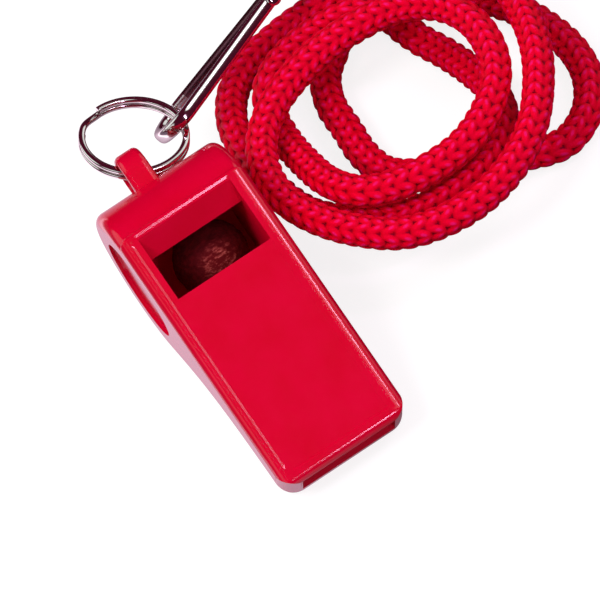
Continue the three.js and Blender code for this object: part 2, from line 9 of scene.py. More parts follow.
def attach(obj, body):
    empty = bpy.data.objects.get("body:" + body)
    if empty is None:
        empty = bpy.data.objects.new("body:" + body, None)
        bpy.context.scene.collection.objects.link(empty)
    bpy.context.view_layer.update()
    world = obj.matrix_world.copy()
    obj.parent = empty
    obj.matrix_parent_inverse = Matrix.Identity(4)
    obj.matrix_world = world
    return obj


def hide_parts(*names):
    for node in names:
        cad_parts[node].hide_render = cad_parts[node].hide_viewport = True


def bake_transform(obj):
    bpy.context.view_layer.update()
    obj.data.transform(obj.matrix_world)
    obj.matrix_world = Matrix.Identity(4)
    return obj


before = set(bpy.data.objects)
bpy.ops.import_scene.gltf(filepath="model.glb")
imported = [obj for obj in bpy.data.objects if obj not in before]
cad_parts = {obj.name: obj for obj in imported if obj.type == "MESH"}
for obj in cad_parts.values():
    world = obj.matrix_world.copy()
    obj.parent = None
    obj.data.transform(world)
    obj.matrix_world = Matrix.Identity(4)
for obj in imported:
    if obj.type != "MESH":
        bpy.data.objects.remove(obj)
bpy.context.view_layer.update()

MM = 0.001

# The frame's origin lies under the middle of the hardware, and the places below are measured
# in millimetres from the point of the floor under the barrel's axis
ORIGIN_SHIFT = Vector((1.408, -15.978, 0.0))

# Outer form of the whistle, in millimetres, in its own frame: the barrel's axis is the origin,
# +X runs to the mouthpiece and +Z to the top face
BODY_WIDTH = 17.7
BARREL_RADIUS = 10.1
BARREL_TO_TOP = 10.2
BARREL_TO_TIP = 31.7
TIP_THICKNESS = 6.15
REAR_STEP_X = -4.3
EDGE_FILLET = 1.3
PLAN_CORNER = 2.6
TOP_CORNER_RADIUS = 1.1
REAR_CORNER_RADIUS = 0.5
LEAST_CORNER_RADIUS = 0.1
THROAT_TURN = -math.pi / 4
THROAT_PULL = 9.7
TIP_PULL = (14.2, 1.05)
EDGE_ROUNDING = 0.22
ROUNDING_SEGMENTS = 7
WHISTLE_SMOOTH_ANGLE = 15.0
REST_TILT = math.radians(25.4)

# Sunk panel of the top face and round recesses of the sides
PANEL_DEPTH = 0.1
PANEL_SLOPE = 0.3
PANEL_CORNER = 1.1
PANEL_SIDE_MARGIN = 0.25
PANEL_END_MARGIN = 0.75
RECESS_RADIUS = 6.5
RECESS_DEPTH = 0.5

# Walls, window, wind-way and the seam between body and cover
SIDE_WALL = 2.35
PERIMETER_WALL = 2.4
COVER_THICKNESS = 2.2
SEAM_INSET = 0.05
SEAM_HALF_GAP = 0.003
WINDOW_REAR_X = -3.4
WINDOW_FRONT_X = 5.4
WINDOW_FLARE = 1.0
FLARE_START = 0.05
LIP_EDGE = (-0.75, 7.7)
WINDWAY_ROOF_Z = 8.4
WINDWAY_HEIGHT = 1.3
WINDWAY_OVERLAP = 0.5
MOUTH_ROOF = 0.8
MOUTH_HEIGHT = 4.7
MOUTH_FUNNEL = 9.0

# Lug, whose hole is a little wider than the solid's, to give the ring more room
LUG_HOLE_RADIUS = 2.2
LUG_HOLE_EASE = 0.04
LUG_HOLE_Z = 0.25
LUG_WALL = 0.9
LUG_WIDTH = 3.3
LUG_REACH = 4.8
LUG_RIM = 0.75
LUG_ROOT = 1.2

# How far the cutting tools reach, from the barrel's axis or past what they cut
CUT_PAST = 1.0
PLAN_REAR = -20.0
PLAN_REACH = 25.0
PLAN_GROWTH = 1.0002
SLAB_REAR = -40.0
SLAB_FRONT = 60.0
SLAB_HEIGHT = 40.0
SLAB_SIDE = 20.0
LUG_CUT_REACH = 8.0
SIDE_CUT_REACH = 12.0

# Which faces of the whistle count as inside
FACE_MARGIN = 0.05
TOP_SKIN = 0.5
FRONT_FACE_DEPTH = 0.3
THROAT_DROP = 1.5
LOOKS_DOWN = -0.3

# Steps of the whistle's curves
BARREL_STEPS = 110
UNDERSIDE_STEPS = 48
CORNER_STEPS = 8
FILLET_STEPS = 8
PLAN_STEPS = 14
PANEL_STEPS = 10
FLARE_STEPS = 9
LUG_STEPS = 40
LUG_HOLE_SIDES = 96

# Pea: its lumps are how often they come and how high they stand
PEA_RADIUS = 4.8
PEA_CLEARANCE = 0.3
PEA_OFF_MIDDLE = 0.7
PEA_SUBDIVISIONS = 5
PEA_SINK = 0.12
PEA_LUMPS = ((1.6, 0.14), (4.5, 0.07))
# Place about which the cork turns pale, in millimetres from the pea's centre, how near it is fully
# pale and how far it fades out
PALE_PLACE = Vector((3.5, 0.3, 3.0))
PALE_NEAR = 1.0
PALE_FAR = 3.0

# Split ring, whose wire is a little slimmer than the solid's, to have more room in the lug
RING_OUTER_RADIUS = 6.75
RING_WIRE_RADIAL = 0.9
RING_WIRE_AXIAL = 0.72
RING_TRIM_RADIAL = 0.05
RING_TRIM_AXIAL = 0.02
RING_COIL_GAP = 0.08
RING_END_GAP = 0.05
RING_STEP_ANGLE = math.radians(34)
RING_STEP_PLACE = math.radians(257)
RING_HOOK_ANGLE = math.radians(119.5)
RING_TO_LUG = Vector((0.903, -0.39, 0.18)).normalized()
RING_NORMAL_HINT = Vector((-0.06, 0.316, 0.947))
RING_SEAT = 1.65
RING_SECTION_SIDES = 24
RING_SQUARENESS = 2.8
RING_ROUNDING = 0.06
RING_STEPS = 420

# Hook, in its own frame: +X runs along the shank to the swivel and +Z to the hook's tip
HOOK_BEND_RADIUS = 3.3
HOOK_BAR_THICKNESS = 1.5
HOOK_BAR_WIDTH = 1.8
HOOK_SHANK = 21.5
HOOK_TIP = 2.6
HOOK_TIP_ROUNDING = 0.25
HOOK_TIP_SHRINK = 0.86
HOOK_PLATE = 1.6
HOOK_HEADING = math.radians(115.5)
HOOK_SLOPE = math.radians(2)
HOOK_ROLL = math.radians(48)
HOOK_SECTION_SIDES = 48
HOOK_SQUARENESS = 2.7
HOOK_ROUNDING = 0.16
BEND_STEPS = 48
PLATE_WIDTH = 3.6
PLATE_RISE = 0.4
BOSS_RIM = 0.6
SLIVER = 0.001

# Pin, rivet and gate
PIN_RADIUS = 0.7
PIN_HEAD_RADIUS = 1.6
RUNNING_GAP = 0.3
RIVET_RADIUS = 0.5
RIVET_HEAD_RADIUS = 1.05
RIVET_HEAD_HEIGHT = 0.45
RIVET_STANDOFF = 0.1
DOME_STEPS = 8
GATE_PIVOT_X = 18.0
GATE_TIP_X = 1.2
GATE_THICKNESS = 0.4
GATE_WIDTH = 2.4
GATE_ROOT_SHARE = 0.94
GATE_TAPER = 0.06
GATE_TAB = 1.8
GATE_ROOT_GAP = 0.35
GATE_TIP_GAP = 0.25
GATE_STATIONS = 30
GATE_SECTION_SIDES = 20
GATE_SQUARENESS = 5
GATE_ROUNDING = 0.05
STRIP_LEAST_ANGLE = 60.0

# Cord: the points of its centre line, in millimetres, as the solid model has them
CORD_DIAMETER = 4.0
INNER_LEAD = [
    (-34, 38.1, 11), (-36.1, 42.5, 10.7), (-39, 47, 8.4), (-43, 49.6, 5), (-47.5, 49.2, 2.6),
    (-50.5, 45.6, 2.1), (-50, 40.8, 2.1), (-46.4, 37.2, 2.1), (-41.4, 35.6, 2.1),
    (-35.6, 35, 2.1), (-29.6, 33.8, 2.1),
]
PILE = [
    (-24.1, 32.4, 2.1), (-20.5, 29.6, 2.1), (-17.5, 26.4, 2.1), (-13.4, 24.6, 2.1),
    (-8.6, 24.2, 2.1), (-4.1, 23.9, 2.1), (-0.1, 24.8, 2.1), (2.9, 27.9, 2.1), (4.7, 32.2, 2.1),
    (6.7, 36.2, 2.1), (9.3, 39.8, 2.1), (10.7, 44, 2.1), (8.9, 48.2, 2.1), (4.9, 51, 2.1),
    (-0.1, 51.9, 2.1), (-5, 51.2, 2.3), (-9.8, 49.5, 2.6), (-13.8, 46.7, 3), (-16.4, 42.7, 4),
    (-17, 37.7, 7.4), (-18.1, 32.7, 8.7), (-19.1, 27.8, 8.2), (-18.6, 22.8, 7.9),
    (-16.4, 19, 7.7), (-13.8, 17.5, 6.8), (-9.5, 16.9, 6.5), (-3.3, 16.8, 8.2), (2.5, 17.4, 10.1),
    (6.5, 19.4, 11.1), (8.5, 22.9, 11.1), (9.3, 27.4, 11.1), (9.1, 32.4, 11.1), (7.1, 37, 11.1),
    (3.8, 40.6, 11.1), (-0.7, 42.6, 11.1), (-5.7, 42.8, 11.1), (-10.2, 40.9, 11.1),
    (-13.3, 36.9, 11.1), (-14.3, 31.9, 11.1), (-14.3, 27.4, 11.1), (-13.3, 22.4, 11.1),
    (-11.2, 17.6, 11.1), (-7.7, 13.8, 11.1), (-3.2, 11.8, 11.1), (1.3, 11.6, 11.1),
    (6.3, 13.2, 11.1), (11.3, 16.4, 11.1), (15.1, 20.4, 11.1), (16.9, 25.4, 11.1),
    (17.1, 30.4, 11.1), (15.5, 35.9, 11.1), (12.3, 40.6, 11.1), (7.8, 44.3, 11.1),
    (3.3, 46.8, 11.1), (-2.4, 48.5, 10.2), (-8.1, 49.1, 9.2), (-13.6, 47.1, 8.5),
    (-18.4, 44, 8.4), (-21.9, 39.2, 7.2), (-22.8, 34, 6.7), (-23.3, 31, 6.5), (-24, 28.1, 5.7),
    (-23.9, 24.1, 5.4), (-22.9, 19.4, 5.4), (-20.5, 15.7, 5.5), (-16.9, 13.4, 6),
    (-13.1, 12.3, 6.4), (-8.4, 12, 6.6), (-2.9, 12.3, 6.6), (2.1, 13.8, 6.6), (6.3, 17.1, 6.6),
    (9.4, 21.3, 6.6), (10.7, 26, 6.6), (10.8, 31, 6.6), (9.5, 35.6, 6.6), (6.5, 38.8, 6.6),
    (1.1, 40.5, 5.2), (-4.5, 40.4, 3.6), (-10, 39.5, 2.3), (-14.6, 38, 2.1), (-19.1, 37.2, 2.1),
    (-24.1, 37.8, 2.1),
]
OUTER_LEAD = [
    (-28.4, 38.9, 2.1), (-31.2, 42, 2.1), (-31.2, 46.4, 2.1), (-28.6, 50.2, 2.1),
    (-26.4, 54.2, 2.1), (-26.6, 58.9, 2.1), (-29.2, 62.2, 2.3), (-33.6, 62.4, 3.2),
    (-36.8, 59.4, 4.9), (-37, 54.8, 7), (-34.8, 49.8, 9.2), (-31.6, 44.6, 10.7),
    (-29.7, 40.1, 11),
]
TAIL_LENGTH = 31.0
SPAN_POINTS = 40
RINGS_APART = 0.16
RINGS_PER_PATH_POINT = 4
CORD_SIDES = 60

# Knit of the cord: columns of stitches that lean to the left and right by turns
WALES = 5
CORE_RADIUS = 1.6
STITCH_PITCH = 1.7
STITCH_TILT = math.radians(33)
STITCH_HALF_LENGTH = 1.3
STITCH_HALF_WIDTH = 0.62
STITCH_HEIGHT = 0.52
STITCH_LEVEL = 0.8
STITCH_LIFT = 0.28

# Camera: the photograph's frame is square, and its scale gives what it shows at the target
PHOTO_PIXELS = 600
PIXELS_PER_MM = 8.47
VIEW_WIDTH = PHOTO_PIXELS / PIXELS_PER_MM
CAMERA_BACK = Vector((0.57371, -0.108, 0.81191)).normalized()
CAMERA_RIGHT_HINT = Vector((0.50226, 0.82941, -0.24458))
CAMERA_TARGET = Vector((16.131, 5.404, 12.856)) + ORIGIN_SHIFT
CAMERA_DISTANCE = 900.0
SENSOR_WIDTH = 36.0
NEAREST_SEEN = 0.05

# Colours
BLACK = (0.0, 0.0, 0.0)
WHITE = (1.0, 1.0, 1.0)
LILAC = (1.0, 0.62, 0.95)
PLASTIC_TONES = [(0.3, (0.68, 0.0, 0.022)), (0.7, (0.73, 0.0, 0.032))]
CORK_DARK_TONES = [(0.4, (0.085, 0.002, 0.005)), (0.65, (0.20, 0.008, 0.014))]
CORK_PALE_TONES = [
    (0.50, (0.16, 0.006, 0.010)), (0.60, (0.60, 0.10, 0.09)), (0.68, (0.85, 0.30, 0.26)),
]
# Cord by stitch height: painted shade in the gaps, the cord's red, then a painted pink highlight on
# the crowns
CORD_TONES_WITH_PAINTED_LIGHT = [
    (0.0, (0.16, 0.0, 0.004)), (0.35, (0.74, 0.0, 0.010)), (0.76, (0.95, 0.0, 0.026)),
    (0.90, (1.0, 0.02, 0.30)),
]
CORD_SHEEN = (1.0, 0.03, 0.36, 1.0)
FIBRE_TONES = [(0.3, (0.7, 0.55, 0.6)), (0.7, WHITE)]
METAL_SHADE = 0.86

# Floor: its colour and glow to the camera, its colour to diffuse rays, and to mirrors a strip
# that is brightest between two places along Y, in metres
FLOOR_REACH = 3.0
FLOOR_COLOUR = (0.28, 0.28, 0.28)
FLOOR_GLOW = (0.33, 0.33, 0.33)
FLOOR_STRENGTH = 2.5
FLOOR_BOUNCE = (0.24, 0.14, 0.26)
STRIP_FROM_Y = -0.06
STRIP_TO_Y = 0.0
STRIP_TONES = [
    (0.0, (0.08, 0.05, 0.07)), (0.18, (0.20, 0.16, 0.19)), (0.36, (0.92, 0.74, 0.86)),
    (0.50, (0.40, 0.30, 0.37)), (0.62, (0.34, 0.25, 0.31)), (0.95, (0.02, 0.002, 0.006)),
]

# World: to mirrors a dark room with bright fields, each with its direction, its size as a
# cosine and its brightness, and to diffuse rays a grade from below to the light's direction
DARK_FIELD = (0.070, 0.005, 0.018)
BRIGHT_FIELDS = [
    ((0.176, 0.530, 0.831), 0.948, 1.3),
    ((-0.35, 0.85, 0.40), 0.93, 0.9),
    ((-0.55, -0.70, 0.45), 0.90, 1.0),
    ((0.30, -0.88, 0.36), 0.95, 0.8),
]
FIELD_BLUR = 0.015
LIGHT_FROM = (0.25, -0.10, 0.96)
GRADE_TONES = [(0.0, (0.08, 0.08, 0.08)), (0.45, (0.20, 0.20, 0.20)), (1.0, (0.68, 0.68, 0.68))]

# Lamps: name, place and size in metres, watts, colour, and whether mirrors show them
LAMPS = [
    ("key", (-0.28, -0.24, 0.50), (0.32, 0.28), 0.7, WHITE, False),
    ("fill", (0.10, -0.30, 0.55), (0.20, 0.20), 1.35, WHITE, False),
    ("side", (0.13, 0.31, 0.52), (0.05, 0.16), 0.45, LILAC, True),
    ("front", (0.50, 0.068, 0.386), (0.035, 0.18), 0.45, LILAC, True),
]


def basis(origin, x_axis, y_axis, z_axis):
    """From a piece's own millimetres to the frame's metres"""
    turn = Matrix((x_axis, y_axis, z_axis)).transposed().to_4x4()
    return Matrix.Scale(MM, 4) @ Matrix.Translation(origin + ORIGIN_SHIFT) @ turn


# Places that follow from the whistle's sizes
HALF_WIDTH = BODY_WIDTH / 2
CHAMBER_RADIUS = BARREL_RADIUS - PERIMETER_WALL
CHAMBER_LEFT = -BODY_WIDTH / 2 + SIDE_WALL
CHAMBER_RIGHT = BODY_WIDTH / 2 - COVER_THICKNESS
SEAM = CHAMBER_RIGHT - SEAM_INSET
LUG_Y = (-HALF_WIDTH + CHAMBER_RIGHT) / 2
LUG_X = -BARREL_RADIUS - LUG_REACH + LUG_WALL + LUG_HOLE_RADIUS
PEA_CENTRE = Vector((0, (CHAMBER_LEFT + CHAMBER_RIGHT) / 2 + PEA_OFF_MIDDLE,
                     BARREL_RADIUS - CHAMBER_RADIUS + PEA_RADIUS + PEA_CLEARANCE))
TILT = Matrix.Rotation(REST_TILT, 3, "Y")
WHISTLE_PLACE = basis(Vector((0, 0, BARREL_RADIUS)), TILT.col[0], TILT.col[1], TILT.col[2])

# The ring runs through the lug's hole
LUG_CENTRE = TILT @ Vector((LUG_X, LUG_Y, LUG_HOLE_Z)) + Vector((0, 0, BARREL_RADIUS))
RING_RADIUS = RING_OUTER_RADIUS - RING_WIRE_RADIAL / 2
RING_CENTRE = LUG_CENTRE - RING_TO_LUG * RING_RADIUS
RING_NORMAL = (RING_NORMAL_HINT - RING_TO_LUG * RING_NORMAL_HINT.dot(RING_TO_LUG)).normalized()
RING_SIDE = RING_NORMAL.cross(RING_TO_LUG)
RING_PLACE = basis(RING_CENTRE, RING_TO_LUG, RING_SIDE, RING_NORMAL)

# The ring runs through the hook's bend
RING_AT_HOOK = RING_CENTRE + (RING_TO_LUG * math.cos(RING_HOOK_ANGLE)
                              + RING_SIDE * math.sin(RING_HOOK_ANGLE)) * RING_RADIUS
HOOK_AXIS = Vector((math.cos(HOOK_HEADING) * math.cos(HOOK_SLOPE),
                    math.sin(HOOK_HEADING) * math.cos(HOOK_SLOPE), -math.sin(HOOK_SLOPE)))
LEVEL_SIDE = Vector((0, 0, 1)).cross(HOOK_AXIS).normalized()
AXIS_UP = HOOK_AXIS.cross(LEVEL_SIDE)
OPENING = LEVEL_SIDE * math.cos(HOOK_ROLL) - AXIS_UP * math.sin(HOOK_ROLL)
BEND_INSIDE = HOOK_BEND_RADIUS - HOOK_BAR_THICKNESS / 2
HOOK_ORIGIN = RING_AT_HOOK + HOOK_AXIS * (BEND_INSIDE - RING_WIRE_RADIAL / 2 - RING_SEAT)
HOOK_PLACE = basis(HOOK_ORIGIN, HOOK_AXIS, OPENING.cross(HOOK_AXIS), OPENING)
GATE_ROOT_Z = -BEND_INSIDE + GATE_THICKNESS / 2 + GATE_ROOT_GAP
GATE_TIP_Z = BEND_INSIDE - GATE_THICKNESS / 2 - GATE_TIP_GAP

# Turns a body from Z to X, along the hook's shank
ALONG_X = Matrix.Rotation(math.pi / 2, 4, "Y")


# Mesh helpers
def link(name, mesh):
    piece = bpy.data.objects.new(name, mesh)
    bpy.context.scene.collection.objects.link(piece)
    return piece


def mesh_from(name, points, faces, smooth=True):
    mesh = bpy.data.meshes.new(name)
    mesh.from_pydata([tuple(p) for p in points], [], faces)
    mesh.validate()
    mesh.update()
    if smooth:
        mesh.polygons.foreach_set("use_smooth", [True] * len(mesh.polygons))
    return mesh


def tube_faces(rings, sides):
    """Faces between equal rings of points, with flat ends"""
    faces = []
    for r in range(rings - 1):
        for i in range(sides):
            j = (i + 1) % sides
            faces.append((r * sides + i, r * sides + j, (r + 1) * sides + j, (r + 1) * sides + i))
    last = (rings - 1) * sides
    faces.append(tuple(range(sides - 1, -1, -1)))
    faces.append(tuple(range(last, last + sides)))
    return faces


def outward(piece):
    """Faces of a closed mesh point out"""
    shape = bmesh.new()
    shape.from_mesh(piece.data)
    bmesh.ops.recalc_face_normals(shape, faces=shape.faces)
    shape.to_mesh(piece.data)
    shape.free()


def loft(name, rings):
    """A closed body through equal rings of points"""
    points = [p for ring in rings for p in ring]
    faces = tube_faces(len(rings), len(rings[0]))
    piece = link(name, mesh_from(name, points, faces, smooth=False))
    outward(piece)
    return piece


def prism(name, outline, y_from, y_to):
    """An outline of (x, z) points drawn out along Y"""
    return loft(name, [[Vector((x, y, z)) for x, z in outline] for y in (y_from, y_to)])


def cylinder_y(name, radius, y_from, y_to, x=0.0, z=0.0, sides=128):
    turn = 2 * math.pi / sides
    outline = []
    for i in range(sides):
        outline.append((x + radius * math.cos(turn * i), z + radius * math.sin(turn * i)))
    return prism(name, outline, y_from, y_to)


def block(name, low, high):
    outline = [(low[0], low[2]), (high[0], low[2]), (high[0], high[2]), (low[0], high[2])]
    return prism(name, outline, low[1], high[1])


def turned(name, profile, placed, sides=64):
    """A body turned about Z from (radius, height) points that start and end on the axis"""
    turns = [2 * math.pi * i / sides for i in range(sides)]
    rings = []
    for radius, height in profile:
        r = max(radius, 2 * SLIVER)
        rings.append([Vector((r * math.cos(t), r * math.sin(t), height)) for t in turns])
    piece = loft(name, rings)
    piece.data.transform(placed)
    return piece


def bake_modifiers(piece):
    bpy.context.view_layer.update()
    seen = piece.evaluated_get(bpy.context.evaluated_depsgraph_get())
    mesh = bpy.data.meshes.new_from_object(seen)
    piece.modifiers.clear()
    piece.data = mesh


def combine(piece, tool, operation):
    """Joins or cuts by a boolean, and removes the tool"""
    step = piece.modifiers.new("cut", "BOOLEAN")
    step.operation = operation
    step.solver = "EXACT"
    step.object = tool
    bake_modifiers(piece)
    bpy.data.objects.remove(tool)
    return piece


def round_edges(piece, width, keep_sharp=None, least_angle=32.0, segments=3):
    """Rounds the edges that turn by more than the least angle"""
    shape = bmesh.new()
    shape.from_mesh(piece.data)
    bmesh.ops.remove_doubles(shape, verts=shape.verts, dist=0.01)
    bmesh.ops.dissolve_degenerate(shape, dist=0.01, edges=shape.edges)
    chosen = []
    for edge in shape.edges:
        if len(edge.link_faces) != 2 or edge.calc_face_angle(0.0) < math.radians(least_angle):
            continue
        if keep_sharp and keep_sharp(edge):
            continue
        chosen.append(edge)
    bmesh.ops.bevel(shape, geom=chosen, offset=width, offset_type="OFFSET", segments=segments,
                    profile=0.5, affect="EDGES", clamp_overlap=True, miter_outer="ARC")
    shape.to_mesh(piece.data)
    shape.free()


def finish_mesh(piece, to_world, smooth_angle=40.0):
    """Takes the mesh from its own millimetres to the frame's metres, with smooth shading"""
    piece.data.transform(to_world)
    piece.data.polygons.foreach_set("use_smooth", [True] * len(piece.data.polygons))
    piece.data.set_sharp_from_angle(angle=math.radians(smooth_angle))
    weigh = piece.modifiers.new("normals", "WEIGHTED_NORMAL")
    weigh.keep_sharp = True
    weigh.weight = 80
    bake_modifiers(piece)


# Outline helpers
def arc(cx, cz, radius, start, end, steps):
    turns = [start + (end - start) * i / steps for i in range(steps + 1)]
    return [(cx + radius * math.cos(t), cz + radius * math.sin(t)) for t in turns]


def bezier(a, b, c, d, steps):
    points = []
    for i in range(steps + 1):
        t = i / steps
        u = 1 - t
        weights = (u**3, 3 * u * u * t, 3 * u * t * t, t**3)
        points.append(tuple(sum(w * p[k] for w, p in zip(weights, (a, b, c, d))) for k in range(2)))
    return points


def rounded_section(across, along, sides, squareness):
    """A section between an ellipse and a rectangle, which it nears as the squareness grows"""
    power = 2 / squareness
    points = []
    for i in range(sides):
        turn = 2 * math.pi * (i + 0.5) / sides
        c, s = math.cos(turn), math.sin(turn)
        points.append((across / 2 * math.copysign(abs(c) ** power, c),
                       along / 2 * math.copysign(abs(s) ** power, s)))
    return points


def fillet_slices(low, high, radius):
    """Slices of a body with rounded rims: how far each is drawn in, and where it is along Y"""
    slices = []
    for i in range(FILLET_STEPS + 1):
        turn = math.pi / 2 * i / FILLET_STEPS
        slices.append((radius * (1 - math.sin(turn)), low + radius * (1 - math.cos(turn))))
    return slices + [(inset, low + high - y) for inset, y in reversed(slices)]


# Node helpers
def feed(tree, socket, source):
    """Links another socket to a socket, or sets a colour or a number on it"""
    if isinstance(source, bpy.types.NodeSocket):
        tree.links.new(source, socket)
    elif isinstance(source, tuple):
        socket.default_value = (*source, 1.0)
    else:
        socket.default_value = source


def noise_texture(tree, scale, detail=2.0, roughness=0.5, stretch=None):
    texture = tree.nodes.new("ShaderNodeTexNoise")
    texture.inputs["Scale"].default_value = scale
    texture.inputs["Detail"].default_value = detail
    texture.inputs["Roughness"].default_value = roughness
    place = tree.nodes.new("ShaderNodeTexCoord").outputs["Object"]
    if stretch:
        mapping = tree.nodes.new("ShaderNodeMapping")
        mapping.inputs["Scale"].default_value = stretch
        tree.links.new(place, mapping.inputs["Vector"])
        place = mapping.outputs["Vector"]
    tree.links.new(place, texture.inputs["Vector"])
    return texture.outputs["Fac"]


def ramp(tree, source, stops):
    blend = tree.nodes.new("ShaderNodeValToRGB")
    tree.links.new(source, blend.inputs["Fac"])
    while len(blend.color_ramp.elements) < len(stops):
        blend.color_ramp.elements.new(0.5)
    for element, (at, colour) in zip(blend.color_ramp.elements, stops):
        element.position = at
        element.color = (*colour, 1.0)
    return blend.outputs["Color"]


def map_range(tree, source, low, high, start=0.0, end=1.0):
    """A value between start and end, spread between low and high"""
    spread = tree.nodes.new("ShaderNodeMapRange")
    spread.inputs["From Min"].default_value = start
    spread.inputs["From Max"].default_value = end
    spread.inputs["To Min"].default_value = low
    spread.inputs["To Max"].default_value = high
    tree.links.new(source, spread.inputs["Value"])
    return spread.outputs["Result"]


def bump(tree, height, strength, distance):
    raised = tree.nodes.new("ShaderNodeBump")
    raised.inputs["Strength"].default_value = strength
    raised.inputs["Distance"].default_value = distance
    tree.links.new(height, raised.inputs["Height"])
    return raised.outputs["Normal"]


def compare(tree, source, operation, fixed):
    """A vector's distance from a fixed one, or its dot product with it"""
    step = tree.nodes.new("ShaderNodeVectorMath")
    step.operation = operation
    step.inputs[1].default_value = fixed
    tree.links.new(source, step.inputs[0])
    return step.outputs["Value"]


def mix_colours(tree, share, usual, chosen, blend_type="MIX"):
    mix = tree.nodes.new("ShaderNodeMix")
    mix.data_type = "RGBA"
    mix.blend_type = blend_type
    feed(tree, mix.inputs["Factor"], share)
    feed(tree, mix.inputs["A"], usual)
    feed(tree, mix.inputs["B"], chosen)
    return mix.outputs["Result"]


def light_path_mix(tree, output, usual, chosen):
    """The chosen colour for one kind of ray, the usual one for all others"""
    path = tree.nodes.new("ShaderNodeLightPath")
    return mix_colours(tree, path.outputs[output], usual, chosen)


# Materials
def new_material(name):
    material = bpy.data.materials.new(name)
    material.use_nodes = True
    return material, material.node_tree, material.node_tree.nodes["Principled BSDF"]


def plastic_material(name, rough_low, rough_high, shine):
    material, tree, shader = new_material(name)
    cloud = noise_texture(tree, scale=220, detail=3)
    feed(tree, shader.inputs["Base Color"], ramp(tree, cloud, PLASTIC_TONES))
    wear = noise_texture(tree, scale=900, detail=4, roughness=0.6)
    feed(tree, shader.inputs["Roughness"], map_range(tree, wear, rough_low, rough_high))
    ripple = noise_texture(tree, scale=260, detail=2, roughness=0.4)
    feed(tree, shader.inputs["Normal"], bump(tree, ripple, strength=0.06, distance=0.00004))
    shader.inputs["IOR"].default_value = 1.5
    shader.inputs["Specular IOR Level"].default_value = shine
    return material


def metal_material(name, colour, rough_low, rough_high):
    material, tree, shader = new_material(name)
    cloud = noise_texture(tree, scale=500, detail=3)
    dark = tuple(c * METAL_SHADE for c in colour)
    feed(tree, shader.inputs["Base Color"], ramp(tree, cloud, [(0.25, dark), (0.6, colour)]))
    shader.inputs["Metallic"].default_value = 1.0
    streak = noise_texture(tree, scale=1500, detail=3, roughness=0.6)
    feed(tree, shader.inputs["Roughness"], map_range(tree, streak, rough_low, rough_high))
    scuff = noise_texture(tree, scale=2600, detail=3, roughness=0.65)
    feed(tree, shader.inputs["Normal"], bump(tree, scuff, strength=0.05, distance=0.00002))
    return material


def cork_material():
    """Dark cork, with fine pale grain that fades in about one place"""
    material, tree, shader = new_material("cork")
    grain = noise_texture(tree, scale=2200, detail=6, roughness=0.75, stretch=(1.0, 0.4, 1.0))
    place = tree.nodes.new("ShaderNodeTexCoord").outputs["Object"]
    pale_centre = (PEA_CENTRE + ORIGIN_SHIFT + PALE_PLACE) * MM
    away = compare(tree, place, "DISTANCE", pale_centre)
    paler = map_range(tree, away, 1.0, 0.0, start=PALE_NEAR * MM, end=PALE_FAR * MM)
    dark = ramp(tree, grain, CORK_DARK_TONES)
    pale = ramp(tree, grain, CORK_PALE_TONES)
    feed(tree, shader.inputs["Base Color"], mix_colours(tree, paler, dark, pale))
    shader.inputs["Roughness"].default_value = 0.9
    shader.inputs["Specular IOR Level"].default_value = 0.2
    feed(tree, shader.inputs["Normal"], bump(tree, grain, strength=0.8, distance=0.0003))
    return material


def cord_material():
    """Red cord, with painted shade between the stitches and a painted pink highlight on their crowns
    """
    material, tree, shader = new_material("red_cord")
    raised = tree.nodes.new("ShaderNodeAttribute")
    raised.attribute_name = "raised"
    # Stitch height gives painted shade low down and a painted highlight on the crowns
    tone_and_painted_light = ramp(tree, raised.outputs["Fac"], CORD_TONES_WITH_PAINTED_LIGHT)
    fibre = noise_texture(tree, scale=5200, detail=3, roughness=0.6)
    shade = ramp(tree, fibre, FIBRE_TONES)
    feed(tree, shader.inputs["Base Color"], mix_colours(tree, 0.45, tone_and_painted_light, shade, "MULTIPLY"))
    shader.inputs["Roughness"].default_value = 0.42
    shader.inputs["Specular IOR Level"].default_value = 0.45
    shader.inputs["Specular Tint"].default_value = CORD_SHEEN
    feed(tree, shader.inputs["Normal"], bump(tree, fibre, strength=0.5, distance=0.00008))
    return material


RED_PLASTIC = plastic_material("red_plastic", 0.08, 0.16, 0.5)
RED_INSIDE = plastic_material("red_plastic_inside", 0.5, 0.65, 0.1)
NICKEL_WIRE = metal_material("nickel_wire", (0.82, 0.80, 0.77), 0.06, 0.16)
NICKEL_CAST = metal_material("nickel_cast", (0.80, 0.78, 0.76), 0.05, 0.14)
SPRING_STEEL = metal_material("spring_steel", (0.27, 0.14, 0.17), 0.12, 0.20)
CORK = cork_material()
RED_CORD = cord_material()


def dress(piece, material):
    piece.data.materials.clear()
    piece.data.materials.append(material)


# Cord
def centre_line():
    """Evenly spaced points of the centripetal curve through the route"""
    route = np.array(INNER_LEAD + PILE + OUTER_LEAD, float)
    spans = len(route) - 1
    pieces = []
    for i in range(spans):
        b, c = route[i], route[i + 1]
        a = route[i - 1] if i > 0 else 2 * b - c
        d = route[i + 2] if i + 2 < len(route) else 2 * c - b
        t0, t1, t2 = (math.sqrt(np.linalg.norm(q - p)) for p, q in ((a, b), (b, c), (c, d)))
        out = ((b - a) / t0 - (c - a) / (t0 + t1) + (c - b) / t1) * t1
        arrive = ((c - b) / t1 - (d - b) / (t1 + t2) + (d - c) / t2) * t1
        t = np.linspace(0, 1, SPAN_POINTS, endpoint=i == spans - 1)[:, None]
        pieces.append(b + out * t + (3 * (c - b) - 2 * out - arrive) * t**2
                      + (2 * (b - c) + out + arrive) * t**3)
    points = np.vstack(pieces)
    along = np.r_[0, np.cumsum(np.linalg.norm(np.diff(points, axis=0), axis=1))]
    count = round(along[-1] / RINGS_APART)
    even = np.linspace(0, along[-1], count + 1)
    return np.stack([np.interp(even, along, points[:, k]) for k in range(3)], 1), along[-1]


